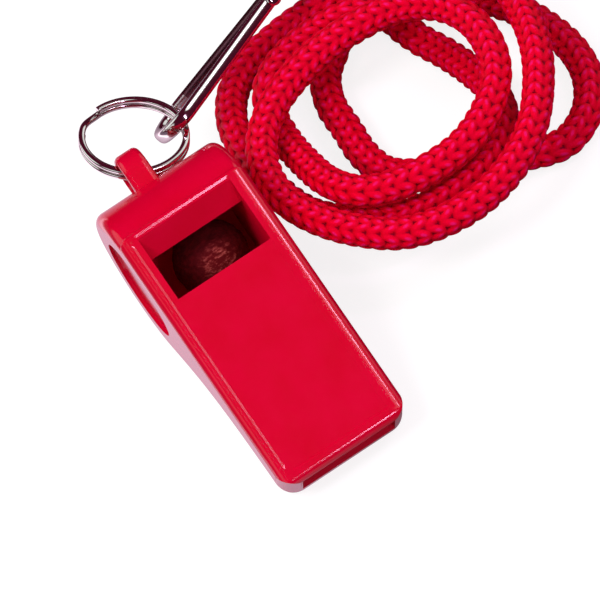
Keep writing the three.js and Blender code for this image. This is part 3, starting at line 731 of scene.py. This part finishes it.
def carried_frames(points):
    """The two cross directions at each point, carried along without twist"""
    along = np.gradient(points, axis=0)
    along /= np.linalg.norm(along, axis=1)[:, None]
    across = np.zeros_like(along)
    side = np.array([0.0, 0.0, 1.0])
    for i, direction in enumerate(along):
        side = side - direction * (side @ direction)
        side /= np.linalg.norm(side)
        across[i] = side
    return across, np.cross(along, across)


def stitch_height(along, turn):
    """How far the stitches stand out at a distance along the cord and a turn about it"""
    columns = 2 * WALES
    width = math.pi * CORD_DIAMETER / columns
    column = turn / (2 * math.pi) * columns
    row = np.floor(along / STITCH_PITCH)
    best = np.zeros(np.broadcast(along, turn).shape)
    for step in (-1, 0, 1):
        which = np.floor(column) + step
        x = (column - which - 0.5) * width
        sign = np.where(np.mod(which, 2) == 0, 1.0, -1.0)
        for neighbour in (-1, 0, 1):
            y = along - (row + neighbour + 0.5) * STITCH_PITCH
            a = x * sign * math.sin(STITCH_TILT) + y * math.cos(STITCH_TILT)
            b = x * sign * math.cos(STITCH_TILT) - y * math.sin(STITCH_TILT)
            inside = 1 - (a / STITCH_HALF_LENGTH) ** 2 - (b / STITCH_HALF_WIDTH) ** 2
            rise = STITCH_LEVEL + STITCH_LIFT * a / STITCH_HALF_LENGTH
            best = np.maximum(best, np.sqrt(np.clip(inside, 0, None)) * rise)
    return best


CORD_POINTS, CORD_LENGTH = centre_line()
CORD_ACROSS, CORD_OTHER = carried_frames(CORD_POINTS)


def braided(name, first, last):
    """The knitted tube between two rings of the whole cord, and its own centre line in metres"""
    rings = np.arange(first, last + 1)
    turn = np.arange(CORD_SIDES) * 2 * math.pi / CORD_SIDES
    along = rings[:, None] * (CORD_LENGTH / (len(CORD_POINTS) - 1))
    height = stitch_height(along, turn[None, :])
    radius = CORE_RADIUS + STITCH_HEIGHT * height
    spoke = (CORD_ACROSS[rings][:, None] * np.cos(turn)[None, :, None]
             + CORD_OTHER[rings][:, None] * np.sin(turn)[None, :, None])
    points = CORD_POINTS[rings][:, None] + spoke * radius[..., None]
    points = (points.reshape(-1, 3) + np.array(ORIGIN_SHIFT)) * MM
    mesh = mesh_from(name, points, tube_faces(len(rings), CORD_SIDES))
    raised = mesh.attributes.new("raised", "FLOAT", "POINT")
    raised.data.foreach_set("value", np.clip(height, 0, 1).astype(np.float32).ravel())
    chosen = list(rings[::RINGS_PER_PATH_POINT])
    if chosen[-1] != last:
        chosen.append(last)
    path = (CORD_POINTS[chosen] + np.array(ORIGIN_SHIFT)) * MM
    return link(name, mesh), [tuple(p) for p in path]


def make_cord():
    """The cord, with its two ends as pieces of their own"""
    count = len(CORD_POINTS) - 1
    tail = round(TAIL_LENGTH / CORD_LENGTH * count)
    tail_rings = ((0, tail), (count - tail, count))
    main, main_path = braided("braided_cord", tail, count - tail)
    dress(main, RED_CORD)
    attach(main, "hook_and_cord")
    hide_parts("cord_pile", "cord_lead_a", "cord_lead_b")
    for name, (first, last) in zip(("cord_end_a", "cord_end_b"), tail_rings):
        piece, path = braided(name, first, last)
        dress(piece, RED_CORD)
        if first:
            path.reverse()
        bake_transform(piece)


# Whistle
def side_outline(inset):
    """Side outline of the whistle, drawn inset from its true edge"""
    radius = BARREL_RADIUS - inset
    top = BARREL_TO_TOP - inset
    tip = BARREL_TO_TIP - inset
    under = BARREL_TO_TOP - TIP_THICKNESS + inset
    start = (radius * math.cos(THROAT_TURN), radius * math.sin(THROAT_TURN))
    reach = THROAT_PULL * math.sqrt(0.5)
    leave = (start[0] + reach, start[1] + reach)
    arrive = (tip - TIP_PULL[0], under - TIP_PULL[1])
    underside = bezier(start, leave, arrive, (tip, under), UNDERSIDE_STEPS)
    rear = REAR_STEP_X + inset
    rear_turn = math.acos(rear / radius)
    front_round = max(TOP_CORNER_RADIUS - inset, LEAST_CORNER_RADIUS)
    rear_round = max(REAR_CORNER_RADIUS - inset, LEAST_CORNER_RADIUS)
    return (arc(0, 0, radius, rear_turn, 2 * math.pi + THROAT_TURN, BARREL_STEPS)
            + underside[1:]
            + arc(tip - front_round, top - front_round, front_round, 0, math.pi / 2, CORNER_STEPS)
            + arc(rear + rear_round, top - rear_round, rear_round, math.pi / 2, math.pi,
                  CORNER_STEPS))


def panel_tool():
    """Shallow sunk panel of the top face, with sloped edges and rounded corners"""
    levels = ((BARREL_TO_TOP - PANEL_DEPTH, 0.0), (BARREL_TO_TOP, PANEL_SLOPE),
              (BARREL_TO_TOP + CUT_PAST, PANEL_SLOPE))
    rings = []
    for z, grow in levels:
        side = HALF_WIDTH - EDGE_FILLET - PANEL_SIDE_MARGIN + grow - PANEL_CORNER
        rear = REAR_STEP_X + PANEL_END_MARGIN - grow + PANEL_CORNER
        front = BARREL_TO_TIP - TOP_CORNER_RADIUS - PANEL_END_MARGIN + grow - PANEL_CORNER
        plan = []
        for k, (x, y) in enumerate(((front, -side), (front, side), (rear, side), (rear, -side))):
            plan += arc(x, y, PANEL_CORNER, (k - 1) * math.pi / 2, k * math.pi / 2, PANEL_STEPS)
        rings.append([Vector((x, y, z)) for x, y in plan])
    return loft("panel", rings)


def plan_tool():
    """The whistle's plan, a hair wider than its sides, with rounded front corners"""
    corner_x, corner_y = BARREL_TO_TIP - PLAN_CORNER, HALF_WIDTH - PLAN_CORNER
    plan = [(PLAN_REAR, -HALF_WIDTH)]
    plan += arc(corner_x, -corner_y, PLAN_CORNER, -math.pi / 2, 0, PLAN_STEPS)
    plan += arc(corner_x, corner_y, PLAN_CORNER, 0, math.pi / 2, PLAN_STEPS)
    plan += [(PLAN_REAR, HALF_WIDTH)]
    return loft("plan", [[Vector((x, y * PLAN_GROWTH, z)) for x, y in plan]
                         for z in (-PLAN_REACH, PLAN_REACH)])


def outer_form(name):
    """Body and cover in one, without the lug and the hollows"""
    form = loft(name, [[Vector((x, y, z)) for x, z in side_outline(inset)]
                       for inset, y in fillet_slices(-HALF_WIDTH, HALF_WIDTH, EDGE_FILLET)])
    combine(form, plan_tool(), "INTERSECT")
    return combine(form, panel_tool(), "DIFFERENCE")


def window_tool():
    """Window from its sloped lip to its front edge, with a flared rear edge"""
    above, below = BARREL_TO_TOP + CUT_PAST, LIP_EDGE[1] - 2 * CUT_PAST
    slope = Vector((LIP_EDGE[0] - WINDOW_REAR_X, LIP_EDGE[1] - BARREL_TO_TOP)).normalized()
    rear = WINDOW_REAR_X - WINDOW_FLARE / math.tan(math.acos(-slope.x) / 2)
    centre = Vector((rear, BARREL_TO_TOP - WINDOW_FLARE))
    first = math.pi / 2 + FLARE_START
    last = math.pi + math.atan2(-slope.x, slope.y)
    outline = [(WINDOW_FRONT_X, above), (rear, above)]
    outline += arc(centre.x, centre.y, WINDOW_FLARE, first, last, FLARE_STEPS)
    outline += [LIP_EDGE, (LIP_EDGE[0], below), (WINDOW_FRONT_X, below)]
    return prism("window", outline, CHAMBER_LEFT, CHAMBER_RIGHT)


def windway_tool():
    """Wind-way from the window to the mouth, where it widens downwards"""
    start, beyond = WINDOW_FRONT_X - WINDWAY_OVERLAP, BARREL_TO_TIP + CUT_PAST
    mouth_top = BARREL_TO_TOP - MOUTH_ROOF
    bottom = WINDWAY_ROOF_Z - WINDWAY_HEIGHT
    outline = [
        (start, WINDWAY_ROOF_Z), (start, bottom), (BARREL_TO_TIP - MOUTH_FUNNEL, bottom),
        (beyond, mouth_top - MOUTH_HEIGHT), (beyond, mouth_top),
    ]
    return prism("windway", outline, CHAMBER_LEFT, CHAMBER_RIGHT)


def slab(y_from, y_to):
    """A block that is larger than the whistle in side view"""
    return block("slab", (SLAB_REAR, y_from, -SLAB_HEIGHT), (SLAB_FRONT, y_to, SLAB_HEIGHT))


def lug_form():
    """Strap of the lug with rounded rims, round its hole's axis and back into the barrel"""
    root = -BARREL_RADIUS + LUG_ROOT
    slices = []
    for inset, y in fillet_slices(LUG_Y - LUG_WIDTH / 2, LUG_Y + LUG_WIDTH / 2, LUG_RIM):
        radius = LUG_HOLE_RADIUS + LUG_WALL - inset
        outline = arc(LUG_X, LUG_HOLE_Z, radius, math.pi / 2, 3 * math.pi / 2, LUG_STEPS)
        outline += [(root, LUG_HOLE_Z - radius), (root, LUG_HOLE_Z + radius)]
        slices.append([Vector((x, y, z)) for x, z in outline])
    return loft("lug", slices)


def lug_hole_tool():
    return cylinder_y("lug_hole", LUG_HOLE_RADIUS + LUG_HOLE_EASE, -LUG_CUT_REACH, LUG_CUT_REACH,
                      LUG_X, LUG_HOLE_Z, LUG_HOLE_SIDES)


def on_seam(edge):
    return all(abs(v.co.y - SEAM) < FACE_MARGIN for v in edge.verts)


def on_outside(face):
    """Whether a face of the mouthpiece belongs to its front or its underside"""
    x, z = face.center.x, face.center.z
    at_front = x > BARREL_TO_TIP - FRONT_FACE_DEPTH
    under_tip = z < BARREL_TO_TOP - TIP_THICKNESS + 2 * FACE_MARGIN
    under_windway = z < WINDWAY_ROOF_Z - WINDWAY_HEIGHT - THROAT_DROP
    return at_front or under_tip or (face.normal.z < LOOKS_DOWN and under_windway)


def dress_inside(piece):
    """Faces within the chamber, the window and the wind-way take the duller plastic"""
    piece.data.materials.append(RED_INSIDE)
    under_top = BARREL_TO_TOP - TOP_SKIN
    for face in piece.data.polygons:
        x, y, z = face.center
        in_width = CHAMBER_LEFT - FACE_MARGIN < y < CHAMBER_RIGHT + FACE_MARGIN
        in_barrel = math.hypot(x, z) < CHAMBER_RADIUS + 2 * FACE_MARGIN
        in_chamber = in_barrel and z < LIP_EDGE[1]
        in_window = WINDOW_REAR_X < x < WINDOW_FRONT_X + FACE_MARGIN and 0 < z < under_top
        in_mouth = x > WINDOW_FRONT_X and z < under_top and not on_outside(face)
        if in_width and (in_chamber or in_window or in_mouth):
            face.material_index = 1


def make_whistle():
    body = outer_form("whistle_shell")
    cover = link("cover_plate", body.data.copy())
    combine(body, slab(-SLAB_SIDE, SEAM - SEAM_HALF_GAP), "INTERSECT")
    combine(cover, slab(SEAM + SEAM_HALF_GAP, SLAB_SIDE), "INTERSECT")
    combine(body, lug_form(), "UNION")
    combine(body, lug_hole_tool(), "DIFFERENCE")
    combine(body, cylinder_y("chamber", CHAMBER_RADIUS, CHAMBER_LEFT, SIDE_CUT_REACH), "DIFFERENCE")
    combine(body, window_tool(), "DIFFERENCE")
    combine(body, windway_tool(), "DIFFERENCE")
    recess_y = HALF_WIDTH - RECESS_DEPTH
    combine(body, cylinder_y("recess", RECESS_RADIUS, -SIDE_CUT_REACH, -recess_y), "DIFFERENCE")
    combine(cover, cylinder_y("recess", RECESS_RADIUS, recess_y, SIDE_CUT_REACH), "DIFFERENCE")
    for piece, node in ((body, "whistle_body"), (cover, "side_cover")):
        round_edges(piece, EDGE_ROUNDING, keep_sharp=on_seam, segments=ROUNDING_SEGMENTS)
        dress(piece, RED_PLASTIC)
        dress_inside(piece)
        finish_mesh(piece, WHISTLE_PLACE, smooth_angle=WHISTLE_SMOOTH_ANGLE)
        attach(piece, "whistle")
        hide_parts(node)


# Pea
def make_pea():
    """Cork ball with a lumpy surface"""
    shape = bmesh.new()
    bmesh.ops.create_icosphere(shape, subdivisions=PEA_SUBDIVISIONS, radius=PEA_RADIUS)
    for v in shape.verts:
        lumps = sum(noise.noise(v.co * often) * height for often, height in PEA_LUMPS)
        v.co = v.co.normalized() * (PEA_RADIUS - PEA_SINK + lumps)
    mesh = bpy.data.meshes.new("cork_ball")
    shape.to_mesh(mesh)
    shape.free()
    piece = link("cork_ball", mesh)
    mesh.transform(Matrix.Scale(MM, 4) @ Matrix.Translation(PEA_CENTRE + ORIGIN_SHIFT))
    mesh.polygons.foreach_set("use_smooth", [True] * len(mesh.polygons))
    dress(piece, CORK)
    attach(piece, "pea")
    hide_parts("pea")


# Split ring
def make_ring():
    """Two coils of wire, which change levels within the step's angle"""
    pitch = RING_WIRE_AXIAL + RING_COIL_GAP
    section = rounded_section(RING_WIRE_RADIAL - RING_TRIM_RADIAL, RING_WIRE_AXIAL - RING_TRIM_AXIAL,
                              RING_SECTION_SIDES, RING_SQUARENESS)
    total = 4 * math.pi - RING_STEP_ANGLE - RING_END_GAP
    step_start = 2 * math.pi - RING_STEP_ANGLE
    rings = []
    for i in range(RING_STEPS + 1):
        passed = total * i / RING_STEPS
        share = min(max((passed - step_start) / RING_STEP_ANGLE, 0), 1)
        height = pitch * (share * share * (3 - 2 * share) - 0.5)
        turn = RING_STEP_PLACE + passed
        out = Vector((math.cos(turn), math.sin(turn), 0))
        rings.append([out * (RING_RADIUS + a) + Vector((0, 0, height + b)) for a, b in section])
    piece = loft("ring_coils", rings)
    round_edges(piece, RING_ROUNDING, least_angle=STRIP_LEAST_ANGLE, segments=2)
    finish_mesh(piece, RING_PLACE)
    dress(piece, NICKEL_WIRE)
    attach(piece, "ring")
    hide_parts("split_ring")


# Hook, gate and rivet
def hook_bar():
    """Bar along the shank, round the bend and to the tip"""
    section = rounded_section(HOOK_BAR_WIDTH, HOOK_BAR_THICKNESS, HOOK_SECTION_SIDES,
                              HOOK_SQUARENESS)
    path = [(HOOK_SHANK + HOOK_PLATE / 2, -HOOK_BEND_RADIUS, 0.0)]
    for i in range(BEND_STEPS + 1):
        turn = math.pi * i / BEND_STEPS
        path.append((-HOOK_BEND_RADIUS * math.sin(turn), -HOOK_BEND_RADIUS * math.cos(turn), turn))
    path.append((HOOK_TIP - HOOK_TIP_ROUNDING, HOOK_BEND_RADIUS, math.pi))
    path.append((HOOK_TIP, HOOK_BEND_RADIUS, math.pi))
    rings = []
    for k, (x, z, turn) in enumerate(path):
        shrink = HOOK_TIP_SHRINK if k == len(path) - 1 else 1.0
        inward = Vector((math.sin(turn), 0, math.cos(turn)))
        rings.append([Vector((x, a * shrink, z)) + inward * (b * shrink) for a, b in section])
    return loft("hook_bar", rings)


def swivel_plate():
    """Plate across the shank's end, with a boss round the pin that is trimmed to its width"""
    near, far = HOOK_SHANK + SLIVER, HOOK_SHANK + HOOK_PLATE
    side = PLATE_WIDTH / 2
    boss_radius = PIN_HEAD_RADIUS + BOSS_RIM
    under = -HOOK_BEND_RADIUS - HOOK_BAR_THICKNESS / 2 + 2 * SLIVER
    plate = block("plate", (HOOK_SHANK, -side, under), (far, side, boss_radius * PLATE_RISE))
    profile = [(0, near), (boss_radius, near), (boss_radius, far - SLIVER), (0, far - SLIVER)]
    boss = turned("boss", profile, ALONG_X)
    trim = block("trim", (0, -side + SLIVER, -boss_radius), (2 * far, side - SLIVER, boss_radius))
    combine(boss, trim, "INTERSECT")
    return combine(plate, boss, "UNION")


def pin_hole_tool():
    radius = PIN_RADIUS + RUNNING_GAP
    near, far = HOOK_SHANK - CUT_PAST, HOOK_SHANK + HOOK_PLATE + CUT_PAST
    return turned("hole", [(0, near), (radius, near), (radius, far), (0, far)], ALONG_X)


def make_hook():
    bar = hook_bar()
    combine(bar, swivel_plate(), "UNION")
    combine(bar, pin_hole_tool(), "DIFFERENCE")
    round_edges(bar, HOOK_ROUNDING)
    finish_mesh(bar, HOOK_PLACE)
    dress(bar, NICKEL_CAST)
    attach(bar, "hook_and_cord")
    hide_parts("hook_body")


def make_gate():
    """Spring strip, narrower towards the rivet, with a tab at the tip in brighter nickel as a
    painted reflection
    """
    slope = (GATE_TIP_Z - GATE_ROOT_Z) / (GATE_TIP_X - GATE_PIVOT_X)
    far = GATE_PIVOT_X + RIVET_HEAD_RADIUS
    rings = []
    for i in range(GATE_STATIONS + 1):
        x = far + (GATE_TIP_X - far) * i / GATE_STATIONS
        z = GATE_ROOT_Z + slope * (x - GATE_PIVOT_X)
        half = GATE_WIDTH / 2 * (GATE_ROOT_SHARE + GATE_TAPER * i / GATE_STATIONS)
        section = rounded_section(2 * half, GATE_THICKNESS, GATE_SECTION_SIDES, GATE_SQUARENESS)
        rings.append([Vector((x, a, z + b)) for a, b in section])
    gate = loft("gate_strip", rings)
    round_edges(gate, GATE_ROUNDING, least_angle=STRIP_LEAST_ANGLE, segments=2)
    finish_mesh(gate, HOOK_PLACE)
    dress(gate, SPRING_STEEL)
    # The tab's brighter nickel is a painted reflection of the strip's end
    gate.data.materials.append(NICKEL_CAST)
    tab_end = (HOOK_PLACE @ Vector((GATE_TIP_X + GATE_TAB, 0, 0))).dot(HOOK_AXIS)
    for face in gate.data.polygons:
        if face.center.dot(HOOK_AXIS) < tab_end:
            face.material_index = 1
    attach(gate, "gate")
    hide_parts("hook_gate")


def make_rivet():
    """Rivet with a domed head on each side"""
    back = -HOOK_BEND_RADIUS - HOOK_BAR_THICKNESS / 2 - RIVET_STANDOFF
    front = GATE_ROOT_Z + GATE_THICKNESS / 2 + RUNNING_GAP
    turns = [math.pi / 2 * i / DOME_STEPS for i in range(DOME_STEPS + 1)]
    dome = [(RIVET_HEAD_RADIUS * math.sin(t), RIVET_HEAD_HEIGHT * math.cos(t)) for t in turns]
    profile = [(r, back - h) for r, h in dome] + [(RIVET_RADIUS, back), (RIVET_RADIUS, front)]
    profile += [(r, front + h) for r, h in reversed(dome)]
    rivet = turned("rivet", profile, Matrix.Translation((GATE_PIVOT_X, 0, 0)))
    finish_mesh(rivet, HOOK_PLACE)
    dress(rivet, NICKEL_CAST)
    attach(rivet, "hook_and_cord")
    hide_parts("gate_rivet")


def plate_solids():
    """The pin and the ferrule stay the solid model's own meshes, in nickel"""
    for node in ("swivel_pin", "cord_ferrule"):
        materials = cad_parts[node].data.materials
        materials.clear()
        materials.append(NICKEL_CAST)


# Camera, floor and light
def place_camera():
    camera = bpy.data.objects.new("camera", bpy.data.cameras.new("camera"))
    bpy.context.scene.collection.objects.link(camera)
    camera.data.sensor_width = SENSOR_WIDTH
    camera.data.lens = SENSOR_WIDTH * CAMERA_DISTANCE / VIEW_WIDTH
    camera.data.clip_start = NEAREST_SEEN
    right = (CAMERA_RIGHT_HINT - CAMERA_BACK * CAMERA_RIGHT_HINT.dot(CAMERA_BACK)).normalized()
    up = CAMERA_BACK.cross(right)
    turn = Matrix((right, up, CAMERA_BACK)).transposed().to_4x4()
    place = (CAMERA_TARGET + CAMERA_BACK * CAMERA_DISTANCE) * MM
    camera.matrix_world = Matrix.Translation(place) @ turn
    bpy.context.scene.camera = camera


def make_floor():
    """Plain pale floor to the camera, and a strip of light to mirrors"""
    size = FLOOR_REACH
    corners = [(-size, -size, 0), (size, -size, 0), (size, size, 0), (-size, size, 0)]
    mesh = mesh_from("floor", corners, [(0, 1, 2, 3)], smooth=False)
    floor = link("floor", mesh)
    material, tree, shader = new_material("floor")
    bounce = light_path_mix(tree, "Is Glossy Ray", FLOOR_BOUNCE, BLACK)
    colour = light_path_mix(tree, "Is Camera Ray", bounce, FLOOR_COLOUR)
    feed(tree, shader.inputs["Base Color"], colour)
    shader.inputs["Roughness"].default_value = 1.0
    shader.inputs["Specular IOR Level"].default_value = 0.0
    split = tree.nodes.new("ShaderNodeSeparateXYZ")
    position = tree.nodes.new("ShaderNodeNewGeometry").outputs["Position"]
    feed(tree, split.inputs[0], position)
    across = map_range(tree, split.outputs["Y"], 0.0, 1.0, start=STRIP_FROM_Y, end=STRIP_TO_Y)
    mirrored = light_path_mix(tree, "Is Glossy Ray", BLACK, ramp(tree, across, STRIP_TONES))
    glow = light_path_mix(tree, "Is Camera Ray", mirrored, FLOOR_GLOW)
    feed(tree, shader.inputs["Emission Color"], glow)
    shader.inputs["Emission Strength"].default_value = FLOOR_STRENGTH
    mesh.materials.append(material)


def field(tree, place, direction, size):
    """A soft-edged disc about a direction"""
    angle = compare(tree, place, "DOT_PRODUCT", Vector(direction).normalized())
    return map_range(tree, angle, 0.0, 1.0, start=size - FIELD_BLUR, end=size + FIELD_BLUR)


def make_world():
    """White to the camera, softly graded to diffuse rays, and a dark room to mirrors"""
    world = bpy.data.worlds.new("studio")
    bpy.context.scene.world = world
    world.use_nodes = True
    tree = world.node_tree
    place = tree.nodes.new("ShaderNodeTexCoord").outputs["Generated"]
    room = DARK_FIELD
    for direction, size, brightness in BRIGHT_FIELDS:
        disc = field(tree, place, direction, size)
        room = mix_colours(tree, disc, room, (brightness, brightness, brightness))
    toward = compare(tree, place, "DOT_PRODUCT", Vector(LIGHT_FROM).normalized())
    graded = ramp(tree, toward, GRADE_TONES)
    unseen = light_path_mix(tree, "Is Diffuse Ray", room, graded)
    sky = tree.nodes["Background"]
    feed(tree, sky.inputs["Color"], light_path_mix(tree, "Is Camera Ray", unseen, WHITE))
    sky.inputs["Strength"].default_value = 1.0


def area_light(name, place, size, power, colour, mirrored):
    """A soft lamp that faces the object"""
    lamp = bpy.data.objects.new(name, bpy.data.lights.new(name, "AREA"))
    bpy.context.scene.collection.objects.link(lamp)
    lamp.data.shape = "RECTANGLE"
    lamp.data.size, lamp.data.size_y = size
    lamp.data.energy = power
    lamp.data.color = colour
    lamp.visible_glossy = mirrored
    lamp.location = place
    lamp.rotation_euler = Vector(place).to_track_quat("Z", "Y").to_euler()


place_camera()
make_cord()
make_whistle()
make_pea()
make_ring()
make_hook()
make_gate()
make_rivet()
plate_solids()
make_floor()
make_world()
for lamp in LAMPS:
    area_light(*lamp)

scene = bpy.context.scene
scene.view_settings.view_transform = "Standard"
